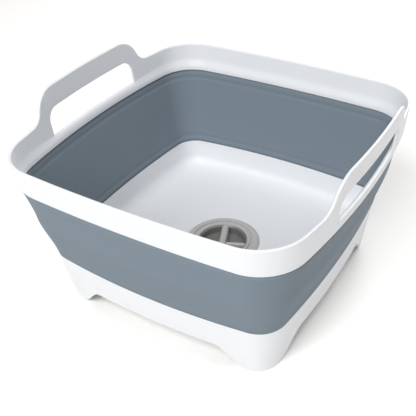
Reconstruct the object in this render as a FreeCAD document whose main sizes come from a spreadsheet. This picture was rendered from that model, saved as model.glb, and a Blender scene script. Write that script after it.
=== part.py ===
import FreeCAD, Part
import math
import os

import Sketcher
from FreeCAD import Placement, Rotation, Vector

# Collapsible washing up bowl, in millimetres.
# The origin is on the ground under the middle of the bowl. +Z is up, X runs from handle to handle
# and the front faces -Y.

DIMENSIONS = [
    # heights, from the ground to the floor and then each level above the one below it
    ("floor_top", 28.0),
    ("tray_depth", 29.0),
    ("wall_height", 83.0),
    ("band_height", 9.5),
    ("lip_height", 20.0),
    ("slot_height", 26.0),
    ("grip_height", 22.0),
    # outline at the top of the rim
    ("rim_half_x", 155.0),
    ("rim_half_y", 155.0),
    ("rim_corner", 47.0),
    ("rim_side_radius", 740.0),
    ("rim_end_radius", 1640.0),
    # how far the rim draws in from its top to its bottom
    ("rim_draft_x", 3.0),
    ("rim_draft_y", 5.0),
    ("rim_draft_corner", 2.5),
    # outline at the top of the base
    ("base_half_x", 130.0),
    ("base_half_y", 132.4),
    ("base_corner", 27.5),
    ("base_side_radius", 930.0),
    ("base_end_radius", 780.0),
    # how far the base draws in from its top to its feet
    ("base_draft", 8.3),
    ("base_draft_corner", 4.0),
    # wall thicknesses
    ("rim_wall", 3.0),
    ("ledge_depth", 2.0),
    ("base_wall", 3.0),
    ("floor_thickness", 3.0),
    ("floor_fillet", 12.0),
    ("fillet_steps", 3),
    ("edge_bevel", 0.9),
    # handles
    ("handle_foot_half", 92.0),
    ("handle_foot_radius", 16.0),
    ("handle_corner", 26.0),
    ("handle_cheek", 27.0),
    ("slot_corner", 12.0),
    ("trim_spare", 2.0),
    ("cutter_reach", 10.0),
    # arches between the feet
    ("arch_half", 95.5),
    ("arch_radius", 23.5),
    ("arch_below_floor", 1.0),
    # soft wall
    ("wall_thickness", 3.0),
    ("rim_overhang", 0.5),
    ("lower_cuff", 4.2),
    ("upper_cuff", 6.2),
    ("hinge_width", 5.3),
    ("hinge_depth", 0.7),
    ("upper_crease", 27.0),
    ("crease_width", 9.0),
    ("crease_depth", 0.6),
    # tongues that the soft wall is moulded over
    ("tongue_height", 3.0),
    ("tongue_thickness", 1.0),
    ("bond_gap", 0.3),
    # drain flange with its spigot and strainer
    ("bore_radius", 27.3),
    ("spigot_wall", 3.2),
    ("spigot_length", 13.0),
    ("seat_width", 2.0),
    ("ledge_above_floor", 1.2),
    ("bead_width", 9.2),
    ("bead_height", 3.9),
    ("bead_bevel", 2.2),
    ("flange_edge", 1.2),
    ("strainer_thickness", 2.0),
    ("strainer_hub", 8.0),
    ("strainer_border", 3.3),
    ("strainer_slots", 8),
    ("strainer_slot_width", 3.6),
    ("drain_gap", 0.3),
    # gasket and nut that clamp the flange
    ("gasket_thickness", 0.8),
    ("gasket_cover", 2.5),
    ("nut_wall", 8.5),
    ("nut_height", 7.0),
    ("nut_lugs", 6),
    ("nut_lug_width", 9.0),
    ("nut_lug_reach", 4.0),
    # plug and its seal
    ("plug_lip", 1.4),
    ("plug_wall", 3.0),
    ("plug_floor", 2.0),
    ("plug_depth", 11.6),
    ("bar_width", 5.6),
    ("bar_drop", 0.6),
    ("rib_width", 4.2),
    ("rib_drop", 4.0),
    ("seal_section", 1.6),
    ("seal_gap", 0.05),
    ("seal_below_lip", 5.0),
    ("plug_turn", 23.0),
]

doc = FreeCAD.newDocument("collapsible_bowl")
sheet = doc.addObject("Spreadsheet::Sheet", "sizes")
for row, (alias, number) in enumerate(DIMENSIONS, start=1):
    sheet.set(f"A{row}", alias)
    sheet.set(f"B{row}", str(number))
    sheet.setAlias(f"B{row}", alias)
doc.recompute()


# Sizes that know their number and their formula

class Size:
    """A number together with the sheet formula that gives it."""

    def __init__(self, value, formula):
        self.value = value
        self.formula = formula

    def __add__(self, other):
        other = as_size(other)
        return Size(self.value + other.value, f"({self.formula} + {other.formula})")

    def __sub__(self, other):
        other = as_size(other)
        return Size(self.value - other.value, f"({self.formula} - {other.formula})")

    def __mul__(self, other):
        other = as_size(other)
        return Size(self.value * other.value, f"({self.formula} * {other.formula})")

    def __truediv__(self, other):
        other = as_size(other)
        return Size(self.value / other.value, f"({self.formula} / {other.formula})")

    def __neg__(self):
        return Size(-self.value, f"(0 - {self.formula})")


def as_size(number):
    """A plain number as a Size."""
    if isinstance(number, Size):
        return number
    return Size(float(number), repr(float(number)))


def size(alias):
    """The driving dimension with this name."""
    return Size(float(sheet.get(alias)), f"sizes.{alias}")


def root(length):
    """Square root of a Size."""
    return Size(math.sqrt(length.value), f"sqrt({length.formula})")


# Outlines of eight arcs: four bowed sides and four corners

class Outline:
    """A rounded square with gently bowed sides, given by its half widths and arc radii."""

    def __init__(self, half_x, half_y, corner, side_radius, end_radius):
        self.half_x = half_x
        self.half_y = half_y
        self.corner = corner
        self.side_radius = side_radius
        self.end_radius = end_radius

    def inset(self, by):
        """The same outline moved inwards by one distance all round."""
        return Outline(self.half_x - by, self.half_y - by, self.corner - by,
                       self.side_radius - by, self.end_radius - by)

    def drawn_in(self, by_x, by_y, by_corner):
        """The outline made smaller by a draft that differs across and along."""
        return Outline(self.half_x - by_x, self.half_y - by_y, self.corner - by_corner,
                       self.side_radius, self.end_radius)

    def towards(self, other, share):
        """The outline part of the way to another one."""
        return Outline(*(mine + (theirs - mine) * share for mine, theirs in zip(self.sizes(), other.sizes())))

    def sizes(self):
        return (self.half_x, self.half_y, self.corner, self.side_radius, self.end_radius)

    def corner_centre(self):
        """Centre of the corner arc that touches the side arc and the end arc from inside."""
        side_x = self.half_x.value - self.side_radius.value
        end_y = self.half_y.value - self.end_radius.value
        to_side = self.side_radius.value - self.corner.value
        to_end = self.end_radius.value - self.corner.value
        apart = math.hypot(side_x, end_y)
        along = (to_side ** 2 - to_end ** 2 + apart ** 2) / (2.0 * apart)
        across = math.sqrt(to_side ** 2 - along ** 2)
        unit_x = -side_x / apart
        unit_y = end_y / apart
        return side_x + unit_x * along - unit_y * across, unit_y * along + unit_x * across


# Numbers that a sketch gives to an edge's points, and counts down from the last for its own axes
START, END, CENTRE = range(1, 4)
X_LINE, Y_LINE = range(-1, -3, -1)
ORIGIN = X_LINE

# Points closer than this touch, and faces that turn more than this (in radians) meet at an edge
TOUCHING = 0.01
SHARP_ANGLE = 0.5


def bind(sketch, constraint, name, length):
    """Add a dimension to a sketch and tie it to its formula."""
    index = sketch.addConstraint(constraint)
    sketch.renameConstraint(index, name)
    sketch.setExpression(f"Constraints.{name}", length.formula)


def add_outline(sketch, outline, name):
    """Draw one outline as eight tangent arcs with dimensioned radii and centres."""
    corner_x, corner_y = outline.corner_centre()
    side_x = outline.half_x.value - outline.side_radius.value
    end_y = outline.half_y.value - outline.end_radius.value
    side_end = math.atan2(corner_y, corner_x - side_x)
    end_start = math.atan2(corner_y - end_y, corner_x)
    half_turn = math.pi
    turns = [-side_end, side_end, end_start, half_turn - end_start, half_turn - side_end,
             half_turn + side_end, half_turn + end_start, 2.0 * half_turn - end_start,
             2.0 * half_turn - side_end]
    side = outline.side_radius.value
    end = outline.end_radius.value
    corner = outline.corner.value
    arcs = [(side_x, 0.0, side), (corner_x, corner_y, corner),
            (0.0, end_y, end), (-corner_x, corner_y, corner),
            (-side_x, 0.0, side), (-corner_x, -corner_y, corner),
            (0.0, -end_y, end), (corner_x, -corner_y, corner)]
    ids = []
    for number, (x, y, radius) in enumerate(arcs):
        circle = Part.Circle(Vector(x, y, 0.0), Vector(0.0, 0.0, 1.0), radius)
        arc = Part.ArcOfCircle(circle, turns[number], turns[number + 1])
        ids.append(sketch.addGeometry(arc, False))
    for number, arc_id in enumerate(ids):
        following = ids[(number + 1) % len(ids)]
        sketch.addConstraint(Sketcher.Constraint("Tangent", arc_id, END, following, START))
    east, north, west, south = ids[0], ids[2], ids[4], ids[6]
    corners = ids[1::2]
    sketch.addConstraint(Sketcher.Constraint("PointOnObject", east, CENTRE, X_LINE))
    sketch.addConstraint(Sketcher.Constraint("PointOnObject", west, CENTRE, X_LINE))
    sketch.addConstraint(Sketcher.Constraint("PointOnObject", north, CENTRE, Y_LINE))
    sketch.addConstraint(Sketcher.Constraint("PointOnObject", south, CENTRE, Y_LINE))
    sketch.addConstraint(Sketcher.Constraint("Equal", east, west))
    sketch.addConstraint(Sketcher.Constraint("Equal", north, south))
    for other in corners[1:]:
        sketch.addConstraint(Sketcher.Constraint("Equal", corners[0], other))
    side_reach = outline.side_radius - outline.half_x
    end_reach = outline.end_radius - outline.half_y
    bind(sketch, Sketcher.Constraint("Radius", east, side), f"{name}_side", outline.side_radius)
    bind(sketch, Sketcher.Constraint("Radius", north, end), f"{name}_end", outline.end_radius)
    bind(sketch, Sketcher.Constraint("Radius", corners[0], corner), f"{name}_corner", outline.corner)
    bind(sketch, Sketcher.Constraint("DistanceX", east, CENTRE, ORIGIN, START, side_reach.value),
         f"{name}_east", side_reach)
    bind(sketch, Sketcher.Constraint("DistanceX", ORIGIN, START, west, CENTRE, side_reach.value),
         f"{name}_west", side_reach)
    bind(sketch, Sketcher.Constraint("DistanceY", north, CENTRE, ORIGIN, START, end_reach.value),
         f"{name}_north", end_reach)
    bind(sketch, Sketcher.Constraint("DistanceY", ORIGIN, START, south, CENTRE, end_reach.value),
         f"{name}_south", end_reach)


# Bodies, sketches and features

def new_body(label):
    body = doc.addObject("PartDesign::Body", label)
    body.Label = label
    return body


def origin_feature(body, role):
    return next(part for part in body.Origin.OriginFeatures if part.Role == role)


def new_sketch(body, name, plane, height=None):
    """A sketch on one of the body's own planes, lifted along the plane's normal."""
    sketch = body.newObject("Sketcher::SketchObject", name)
    sketch.AttachmentSupport = [(origin_feature(body, plane), "")]
    sketch.MapMode = "FlatFace"
    if height is not None:
        sketch.AttachmentOffset = Placement(Vector(0.0, 0.0, height.value), Rotation())
        sketch.setExpression("AttachmentOffset.Base.z", height.formula)
    return sketch


def ring_loft(body, name, kind, sections):
    """A loft through outlines. Each section is (height, outline) or (height, outer, inner)."""
    sketches = []
    for number, (height, *outlines) in enumerate(sections):
        sketch = new_sketch(body, f"{name}_section_{number}", "XY_Plane", height)
        for outline, part in zip(outlines, ("outer", "inner")):
            add_outline(sketch, outline, part)
        sketches.append(sketch)
    doc.recompute()
    loft = body.newObject(kind, name)
    loft.Profile = sketches[0]
    loft.Sections = sketches[1:]
    loft.Ruled = True
    doc.recompute()
    return loft


def draw_profile(sketch, corners, arcs=None):
    """A closed profile with every corner dimensioned.

    An edge runs from its corner to the next. arcs maps an edge's number to the radius it bends with and
    whether the arc's centre is on the left of the way along it.
    """
    arcs = arcs or {}
    points = [Vector(across.value, up.value, 0.0) for across, up in corners]
    ids = []
    for number, start in enumerate(points):
        end = points[(number + 1) % len(points)]
        if number not in arcs:
            ids.append(sketch.addGeometry(Part.LineSegment(start, end), False))
            continue
        radius, left = arcs[number]
        chord = end - start
        reach = math.sqrt(radius.value ** 2 - (chord.Length / 2.0) ** 2)
        normal = Vector(-chord.y, chord.x, 0.0).normalize()
        centre = (start + end) * 0.5 + normal * (reach if left else -reach)
        circle = Part.Circle(centre, Vector(0.0, 0.0, 1.0), radius.value)
        first, second = (start, end) if left else (end, start)
        turns = [math.atan2(point.y - centre.y, point.x - centre.x) for point in (first, second)]
        ids.append(sketch.addGeometry(Part.ArcOfCircle(circle, *turns), False))
    for number, (edge, (across, up)) in enumerate(zip(ids, corners)):
        before = (number - 1) % len(ids)
        backwards = number in arcs and not arcs[number][1]
        before_backwards = before in arcs and not arcs[before][1]
        point = END if backwards else START
        before_point = START if before_backwards else END
        sketch.addConstraint(Sketcher.Constraint("Coincident", ids[before], before_point, edge, point))
        bind(sketch, Sketcher.Constraint("DistanceX", ORIGIN, START, edge, point, across.value),
             f"across_{number}", across)
        bind(sketch, Sketcher.Constraint("DistanceY", ORIGIN, START, edge, point, up.value),
             f"up_{number}", up)
    for number, (radius, left) in arcs.items():
        bind(sketch, Sketcher.Constraint("Radius", ids[number], radius.value), f"radius_{number}", radius)


def through_pocket(body, name, sketch):
    """A cut that runs through everything on both sides of its sketch, and has to take material away."""
    before = body.Shape.Volume
    pocket = body.newObject("PartDesign::Pocket", name)
    pocket.Profile = sketch
    pocket.SideType = "Symmetric"
    pocket.Type = "ThroughAll"
    doc.recompute()
    if body.Shape.Volume >= before:
        raise RuntimeError(f"{name} takes nothing away")
    return pocket


def revolve(body, name, corners):
    """A full turn about the body's upright axis of a profile given as radius and height."""
    sketch = new_sketch(body, f"{name}_profile", "XZ_Plane")
    draw_profile(sketch, corners)
    doc.recompute()
    turned = body.newObject("PartDesign::Revolution", name)
    turned.Profile = sketch
    turned.ReferenceAxis = (sketch, ["V_Axis"])
    turned.Angle = 360.0
    doc.recompute()
    return turned


def pad_up(body, name, sketch, length):
    pad = body.newObject("PartDesign::Pad", name)
    pad.Profile = sketch
    pad.Length = length.value
    pad.setExpression("Length", length.formula)
    doc.recompute()
    return pad


def rectangle(sketch, low_x, low_y, high_x, high_y):
    draw_profile(sketch, [(low_x, low_y), (high_x, low_y), (high_x, high_y), (low_x, high_y)])


def draw_arch(sketch, half, low, high, radius):
    """An opening with a flat bottom and rounded upper corners."""
    draw_profile(sketch, [(-half, low), (half, low), (half, high - radius), (half - radius, high),
                          (radius - half, high), (-half, high - radius)],
                 {2: (radius, True), 4: (radius, True)})


def add_circle(sketch, radius):
    """A circle on the sketch's origin."""
    circle = sketch.addGeometry(Part.Circle(Vector(), Vector(0.0, 0.0, 1.0), radius.value), False)
    bind(sketch, Sketcher.Constraint("Radius", circle, radius.value), "circle_radius", radius)
    sketch.addConstraint(Sketcher.Constraint("Coincident", circle, CENTRE, ORIGIN, START))


def turn_copies(body, name, feature, count):
    """Repeat a feature evenly about the body's upright axis, as often as a sheet value says."""
    pattern = body.newObject("PartDesign::PolarPattern", name)
    pattern.Originals = [feature]
    pattern.Axis = (origin_feature(body, "Z_Axis"), [""])
    pattern.Angle = 360.0
    pattern.Occurrences = int(count.value)
    pattern.setExpression("Occurrences", count.formula)
    body.Tip = pattern
    doc.recompute()
    return pattern


def lies_above(edge, height):
    """True for an edge that is nowhere lower than a height."""
    return all(vertex.Z > height.value - TOUCHING for vertex in edge.Vertexes)


def is_sharp(shape, edge):
    """True where the two faces beside an edge meet at a clear angle."""
    middle = edge.valueAt((edge.FirstParameter + edge.LastParameter) / 2.0)
    faces = shape.ancestorsOfType(edge, Part.Face)
    normals = [face.normalAt(*face.Surface.parameter(middle)) for face in faces]
    return len(normals) == 2 and normals[0].getAngle(normals[1]) > SHARP_ANGLE


def bevel_edges(body, name, width, wanted):
    """Bevel the edges of the body's last feature that wanted() picks."""
    last = body.Tip
    edges = [f"Edge{number}" for number, edge in enumerate(last.Shape.Edges, start=1) if wanted(edge)]
    bevel = body.newObject("PartDesign::Chamfer", name)
    bevel.Base = (last, edges)
    bevel.Size = width.value
    bevel.setExpression("Size", width.formula)
    doc.recompute()
    return bevel


# Levels, stacked from the ground up

ground = as_size(0.0)
floor_top = size("floor_top")
floor_under = floor_top - size("floor_thickness")
base_top = floor_top + size("tray_depth")
rim_bottom = base_top + size("wall_height")
ledge_height = rim_bottom + size("band_height")
rim_top = ledge_height + size("lip_height")
slot_top = ledge_height + size("slot_height")
handle_top = slot_top + size("grip_height")


# Outlines shared by the rim, the soft wall and the base

rim_outline = Outline(size("rim_half_x"), size("rim_half_y"), size("rim_corner"),
                      size("rim_side_radius"), size("rim_end_radius"))
rim_low_outline = rim_outline.drawn_in(size("rim_draft_x"), size("rim_draft_y"), size("rim_draft_corner"))
base_outline = Outline(size("base_half_x"), size("base_half_y"), size("base_corner"),
                       size("base_side_radius"), size("base_end_radius"))
foot_outline = base_outline.drawn_in(size("base_draft"), size("base_draft"), size("base_draft_corner"))


def rim_at(height):
    """Outside of the rim at a height, on the straight line from its bottom through its top."""
    share = (height - rim_bottom) / (rim_top - rim_bottom)
    return rim_low_outline.towards(rim_outline, share)


def wall_at(height):
    """The straight line from the top of the base to the bottom of the rim."""
    share = (height - base_top) / (rim_bottom - base_top)
    return base_outline.towards(rim_low_outline, share)


def base_at(height):
    """Outside of the base at a height."""
    return foot_outline.towards(base_outline, height / base_top)


tongue_inset = (size("wall_thickness") + size("rim_overhang") - size("tongue_thickness")) / 2.0


def tongue_section(height, gap=as_size(0.0)):
    """Outer and inner outline of a tongue in the middle of the soft wall, or of the groove round it."""
    outer = wall_at(height).inset(tongue_inset - gap)
    return height, outer, outer.inset(size("tongue_thickness") + gap * 2.0)


# Rim with its two handles

def make_rim_frame():
    body = new_body("rim_frame")
    low, ledge = rim_bottom, ledge_height
    top = handle_top + size("trim_spare")
    band = size("rim_wall") + size("ledge_depth")
    ring_loft(body, "rim_shell", "PartDesign::AdditiveLoft",
              [(ledge, rim_at(ledge), rim_at(ledge).inset(size("rim_wall"))),
               (top, rim_at(top), rim_at(top).inset(size("rim_wall")))])
    ring_loft(body, "rim_band", "PartDesign::AdditiveLoft",
              [(low, rim_at(low), rim_at(low).inset(band)),
               (ledge, rim_at(ledge), rim_at(ledge).inset(band))])
    tongue_low = low - size("tongue_height")
    ring_loft(body, "rim_tongue", "PartDesign::AdditiveLoft",
              [tongue_section(tongue_low), tongue_section(low)])

    rise = handle_top - rim_top
    foot_radius, corner_radius = size("handle_foot_radius"), size("handle_corner")
    both = foot_radius + corner_radius
    run = root(rise * (both * 2.0 - rise))
    foot = size("handle_foot_half")
    shoulder = foot - run
    bend = foot - run * (foot_radius / both)
    bend_height = rim_top + rise * (foot_radius / both)
    beyond = size("rim_half_y") + size("cutter_reach")
    above = handle_top + size("cutter_reach")
    trim = new_sketch(body, "handle_outline", "YZ_Plane")
    draw_profile(trim, [(-beyond, rim_top), (-foot, rim_top), (-bend, bend_height), (-shoulder, handle_top),
                        (shoulder, handle_top), (bend, bend_height), (foot, rim_top), (beyond, rim_top),
                        (beyond, above), (-beyond, above)],
                 {1: (foot_radius, True), 2: (corner_radius, False),
                  4: (corner_radius, False), 5: (foot_radius, True)})
    doc.recompute()
    through_pocket(body, "trim_above_handles", trim)
    trimmed = body.Tip.Shape
    bevel_edges(body, "top_bevels", size("edge_bevel"),
                lambda edge: lies_above(edge, rim_top) and is_sharp(trimmed, edge))
    slot = new_sketch(body, "slot_outline", "YZ_Plane")
    draw_arch(slot, foot - size("handle_cheek"), ledge, slot_top, size("slot_corner"))
    doc.recompute()
    through_pocket(body, "hand_slots", slot)
    return body


# Soft wall: ruled lofts through its crease outside and its hinge bands inside

def make_fold_wall():
    body = new_body("fold_wall")
    low, high = base_top, rim_bottom
    flush = as_size(0.0)
    crease, half_crease = high - size("upper_crease"), size("crease_width") / 2.0
    outside = [(low, flush),
               (crease - half_crease, flush),
               (crease, size("crease_depth")),
               (crease + half_crease, flush),
               (high, size("rim_overhang"))]
    full = size("wall_thickness")
    thin = full - size("hinge_depth")
    half_hinge = size("hinge_width") / 2.0
    lower_hinge = low + size("lower_cuff") + half_hinge
    upper_hinge = high - size("upper_cuff") - half_hinge
    inside = [(low, full),
              (lower_hinge - half_hinge, full),
              (lower_hinge, thin),
              (lower_hinge + half_hinge, full),
              (upper_hinge - half_hinge, full),
              (upper_hinge, thin),
              (upper_hinge + half_hinge, full),
              (high, full)]
    for name, kind, steps in (("wall_outside", "PartDesign::AdditiveLoft", outside),
                              ("wall_inside", "PartDesign::SubtractiveLoft", inside)):
        ring_loft(body, name, kind, [(height, wall_at(height).inset(inset)) for height, inset in steps])
    reach = size("tongue_height") + size("bond_gap")
    for name, mouth, blind in (("base_groove", low, low + reach), ("rim_groove", high, high - reach)):
        ring_loft(body, name, "PartDesign::SubtractiveLoft",
                  [tongue_section(height, size("bond_gap")) for height in (mouth, blind)])
    return body


# Drain sizes that the base, the flange, the gasket, the nut and the plug share

spigot_radius = size("bore_radius") + size("spigot_wall")
bead_inner = size("bore_radius") + size("seat_width")
flange_radius = bead_inner + size("bead_width")
gasket_radius = flange_radius - size("gasket_cover")
gasket_top = floor_top + size("gasket_thickness")
plug_seat = floor_top + size("ledge_above_floor")
plug_top = plug_seat + size("plug_lip")
seal_height = plug_seat - size("seal_below_lip")


# Base: tray, skirt and four feet

def make_base_tray():
    body = new_body("base_tray")
    wall = size("base_wall")
    ring_loft(body, "base_block", "PartDesign::AdditiveLoft",
              [(ground, foot_outline), (base_top, base_outline)])
    steps = int(size("fillet_steps").value)
    hollow = []
    for step in range(steps + 1):
        turn = math.pi / 2.0 * step / steps
        height = floor_top + size("floor_fillet") * (1.0 - math.cos(turn))
        hollow.append((height, base_at(height).inset(wall + size("floor_fillet") * (1.0 - math.sin(turn)))))
    hollow.append((base_top, base_at(base_top).inset(wall)))
    ring_loft(body, "tray_hollow", "PartDesign::SubtractiveLoft", hollow)
    ring_loft(body, "under_hollow", "PartDesign::SubtractiveLoft",
              [(ground, base_at(ground).inset(wall)), (floor_under, base_at(floor_under).inset(wall))])
    half, height, radius = size("arch_half"), floor_under - size("arch_below_floor"), size("arch_radius")
    for name, plane in (("front_arches", "XZ_Plane"), ("side_arches", "YZ_Plane")):
        arch = new_sketch(body, f"{name}_outline", plane)
        draw_arch(arch, half, -radius, height, radius)
        doc.recompute()
        through_pocket(body, name, arch)
    hole = new_sketch(body, "drain_hole_outline", "XY_Plane", floor_top)
    add_circle(hole, spigot_radius + size("drain_gap"))
    doc.recompute()
    through_pocket(body, "drain_hole", hole)
    ring_loft(body, "base_tongue", "PartDesign::AdditiveLoft",
              [tongue_section(base_top), tongue_section(base_top + size("tongue_height"))])
    return body


# Drain: flange with spigot and strainer, gasket, nut

def make_drain_flange():
    body = new_body("drain_flange")
    bore = size("bore_radius")
    bottom = floor_under - size("spigot_length")
    strainer = bottom + size("strainer_thickness")
    recess = gasket_radius + size("drain_gap")
    bead_foot = floor_top + size("flange_edge")
    bead_top = floor_top + size("bead_height")
    bevel = size("bead_bevel")
    revolve(body, "flange_turned",
            [(ground, bottom), (spigot_radius, bottom), (spigot_radius, gasket_top), (recess, gasket_top),
             (recess, floor_top), (flange_radius, floor_top), (flange_radius, bead_foot),
             (flange_radius - bevel, bead_top), (bead_inner + bevel, bead_top), (bead_inner, plug_top),
             (bead_inner, plug_seat), (bore, plug_seat), (bore, strainer), (ground, strainer)])
    slot = new_sketch(body, "strainer_slot", "XY_Plane", strainer)
    half_slot = size("strainer_slot_width") / 2.0
    rectangle(slot, size("strainer_hub"), -half_slot, bore - size("strainer_border"), half_slot)
    doc.recompute()
    pocket = through_pocket(body, "strainer_cut", slot)
    turn_copies(body, "strainer_ring", pocket, size("strainer_slots"))
    return body


def make_floor_gasket():
    body = new_body("floor_gasket")
    inner = spigot_radius + size("drain_gap")
    revolve(body, "gasket_turned",
            [(inner, floor_top), (gasket_radius, floor_top),
             (gasket_radius, gasket_top), (inner, gasket_top)])
    return body


def make_lock_nut():
    body = new_body("lock_nut")
    inner = spigot_radius + size("drain_gap")
    outer = spigot_radius + size("nut_wall")
    bottom = floor_under - size("nut_height")
    revolve(body, "nut_turned",
            [(inner, bottom), (outer, bottom), (outer, floor_under), (inner, floor_under)])
    lug = new_sketch(body, "lug_outline", "XY_Plane", bottom)
    half = size("nut_lug_width") / 2.0
    rectangle(lug, outer - size("nut_lug_reach"), -half, outer + size("nut_lug_reach"), half)
    doc.recompute()
    pad = pad_up(body, "lug", lug, size("nut_height"))
    turn_copies(body, "lugs", pad, size("nut_lugs"))
    return body


# Plug and its seal

def make_drain_plug():
    body = new_body("drain_plug")
    lip = bead_inner - size("drain_gap")
    outside = size("bore_radius") - size("drain_gap")
    inside = outside - size("plug_wall")
    bottom = plug_top - size("plug_depth")
    cup_floor = bottom + size("plug_floor")
    groove = size("bore_radius") - size("seal_section") - size("seal_gap") * 2.0
    half_groove = size("seal_section") / 2.0 + size("seal_gap")
    groove_low, groove_high = seal_height - half_groove, seal_height + half_groove
    revolve(body, "cup_turned",
            [(ground, bottom), (outside, bottom), (outside, groove_low), (groove, groove_low),
             (groove, groove_high), (outside, groove_high), (outside, plug_seat), (lip, plug_seat),
             (lip, plug_top), (inside, plug_top), (inside, cup_floor), (ground, cup_floor)])
    reach = inside + size("plug_wall") / 2.0
    for name, width, drop, along in (("grip_bar", size("bar_width"), size("bar_drop"), True),
                                     ("cross_rib", size("rib_width"), size("rib_drop"), False)):
        outline = new_sketch(body, f"{name}_outline", "XY_Plane", cup_floor)
        half_x, half_y = (width / 2.0, reach) if along else (reach, width / 2.0)
        rectangle(outline, -half_x, -half_y, half_x, half_y)
        doc.recompute()
        pad_up(body, name, outline, plug_top - drop - cup_floor)
    body.Placement = Placement(Vector(), Rotation(Vector(0.0, 0.0, 1.0), size("plug_turn").value))
    body.setExpression("Placement.Rotation.Angle", f"{size('plug_turn').formula} * 1 deg")
    return body


def make_plug_seal():
    body = new_body("plug_seal")
    outer = size("bore_radius") - size("seal_gap")
    inner = outer - size("seal_section")
    low, high = seal_height - size("seal_section") / 2.0, seal_height + size("seal_section") / 2.0
    revolve(body, "seal_turned", [(inner, low), (outer, low), (outer, high), (inner, high)])
    return body


makers = [make_rim_frame, make_fold_wall, make_base_tray, make_drain_flange, make_floor_gasket,
          make_lock_nut, make_drain_plug, make_plug_seal]
pieces = [make() for make in makers]

doc.recompute()
for item in doc.Objects:
    if "Invalid" in item.State or "Error" in item.State:
        raise RuntimeError(f"{item.Name} failed: {item.State}")
os.makedirs("parts", exist_ok=True)
for piece in pieces:
    shape = piece.Shape
    if shape.isNull() or not shape.isValid():
        raise RuntimeError(f"{piece.Label} has no valid shape")
    shape.exportStep(f"parts/{piece.Label}.step")
    print(piece.Label, len(shape.Solids), "solids", round(shape.Volume), "mm3", shape.BoundBox)
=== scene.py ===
# %% [markdown]
# A collapsible washing up bowl. Two rigid mouldings, a white rim with two cut-out handles and a white base
# with four feet, are joined by a soft grey wall that folds down. A drain with a plug sits in the floor.
# The imported model is loaded first as a fixed frame. Every piece made below is in metres in that same frame,
# so nothing has to be fitted afterwards.

import math
from collections import namedtuple

import bmesh
import bpy
from mathutils import Matrix, Vector


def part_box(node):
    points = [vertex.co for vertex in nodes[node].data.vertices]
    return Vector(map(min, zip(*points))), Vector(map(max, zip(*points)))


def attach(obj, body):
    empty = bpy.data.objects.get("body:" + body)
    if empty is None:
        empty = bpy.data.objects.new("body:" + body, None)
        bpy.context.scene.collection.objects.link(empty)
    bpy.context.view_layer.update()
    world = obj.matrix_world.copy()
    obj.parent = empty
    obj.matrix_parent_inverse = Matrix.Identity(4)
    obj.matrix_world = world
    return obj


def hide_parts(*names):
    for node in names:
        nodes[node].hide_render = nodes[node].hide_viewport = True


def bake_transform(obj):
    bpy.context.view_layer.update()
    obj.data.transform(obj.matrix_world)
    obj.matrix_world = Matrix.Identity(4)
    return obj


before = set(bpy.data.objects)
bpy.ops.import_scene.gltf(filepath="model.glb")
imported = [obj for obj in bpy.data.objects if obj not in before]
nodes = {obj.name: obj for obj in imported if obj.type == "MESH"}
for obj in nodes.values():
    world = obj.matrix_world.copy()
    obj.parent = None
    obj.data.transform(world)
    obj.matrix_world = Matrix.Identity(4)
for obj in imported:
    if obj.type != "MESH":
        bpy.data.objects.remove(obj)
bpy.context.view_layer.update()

# %% [markdown]
# Seen from above, every level of the bowl is a rounded square with gently bowed sides: four long arcs and
# four corner arcs that run smoothly into each other. It could be drawn with a curve object, but a formula is
# exact and can be blended from level to level. An outline is five sizes. A point on it is found by its turn,
# the direction in which the wall faces there, so that moving inwards by a wall's thickness keeps the turn.

# %% Outlines of the bowl
Outline = namedtuple("Outline", "half_x half_y corner side_radius end_radius")
RIM_OUTLINE = Outline(0.1550, 0.1550, 0.0470, 0.740, 1.640)
RIM_LOW_OUTLINE = Outline(0.1520, 0.1500, 0.0445, 0.740, 1.640)
BASE_OUTLINE = Outline(0.1300, 0.1324, 0.0275, 0.930, 0.780)
FOOT_OUTLINE = Outline(0.1217, 0.1241, 0.0235, 0.930, 0.780)
QUARTER_TURN = math.pi / 2.0
FULL_TURN = 2.0 * math.pi


def between(low, high, share):
    """The outline part of the way from one level to another."""
    return Outline(*(a + (b - a) * share for a, b in zip(low, high)))


def corner_arc(outline):
    """Centre of the corner arc, and the turns at which it starts and ends."""
    side_x = outline.half_x - outline.side_radius
    end_y = outline.half_y - outline.end_radius
    to_side = outline.side_radius - outline.corner
    to_end = outline.end_radius - outline.corner
    apart = math.hypot(side_x, end_y)
    along = (to_side ** 2 - to_end ** 2 + apart ** 2) / (2.0 * apart)
    across = math.sqrt(to_side ** 2 - along ** 2)
    x = side_x + (-side_x * along - end_y * across) / apart
    y = (end_y * along - side_x * across) / apart
    return x, y, math.atan2(y, x - side_x), math.atan2(y - end_y, x)


def outline_point(outline, turn, inset=0.0):
    """Point of the quarter outline that faces along a turn, moved inwards by an inset."""
    x, y, start, end = corner_arc(outline)
    radius = outline.corner
    if turn <= start:
        x, y, radius = outline.half_x - outline.side_radius, 0.0, outline.side_radius
    elif turn >= end:
        x, y, radius = 0.0, outline.half_y - outline.end_radius, outline.end_radius
    return x + (radius - inset) * math.cos(turn), y + (radius - inset) * math.sin(turn)


print("rim corner arc", [round(value, 4) for value in corner_arc(RIM_OUTLINE)])

# %% [markdown]
# The bowl is the same in all four quarters, so each moulding is modelled as one quarter and mirrored twice.
# A column is one upright line of points. Some columns stand at a fixed share of an arc and some at a fixed
# distance along the side, so each is a small function that gives its turn on any outline.

# %% Columns of a quarter
def across(y):
    """Column on the handle side, at a distance from the middle."""
    return lambda outline: math.asin(y / outline.side_radius)


def along(x):
    """Column on the front or back, at a distance from the middle."""
    return lambda outline: math.acos(x / outline.end_radius)


def side_share(share):
    return lambda outline: corner_arc(outline)[2] * share


def corner_share(share):
    def turn(outline):
        start, end = corner_arc(outline)[2:]
        return start + (end - start) * share
    return turn


def end_share(share):
    def turn(outline):
        end = corner_arc(outline)[3]
        return end + (QUARTER_TURN - end) * share
    return turn


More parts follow.
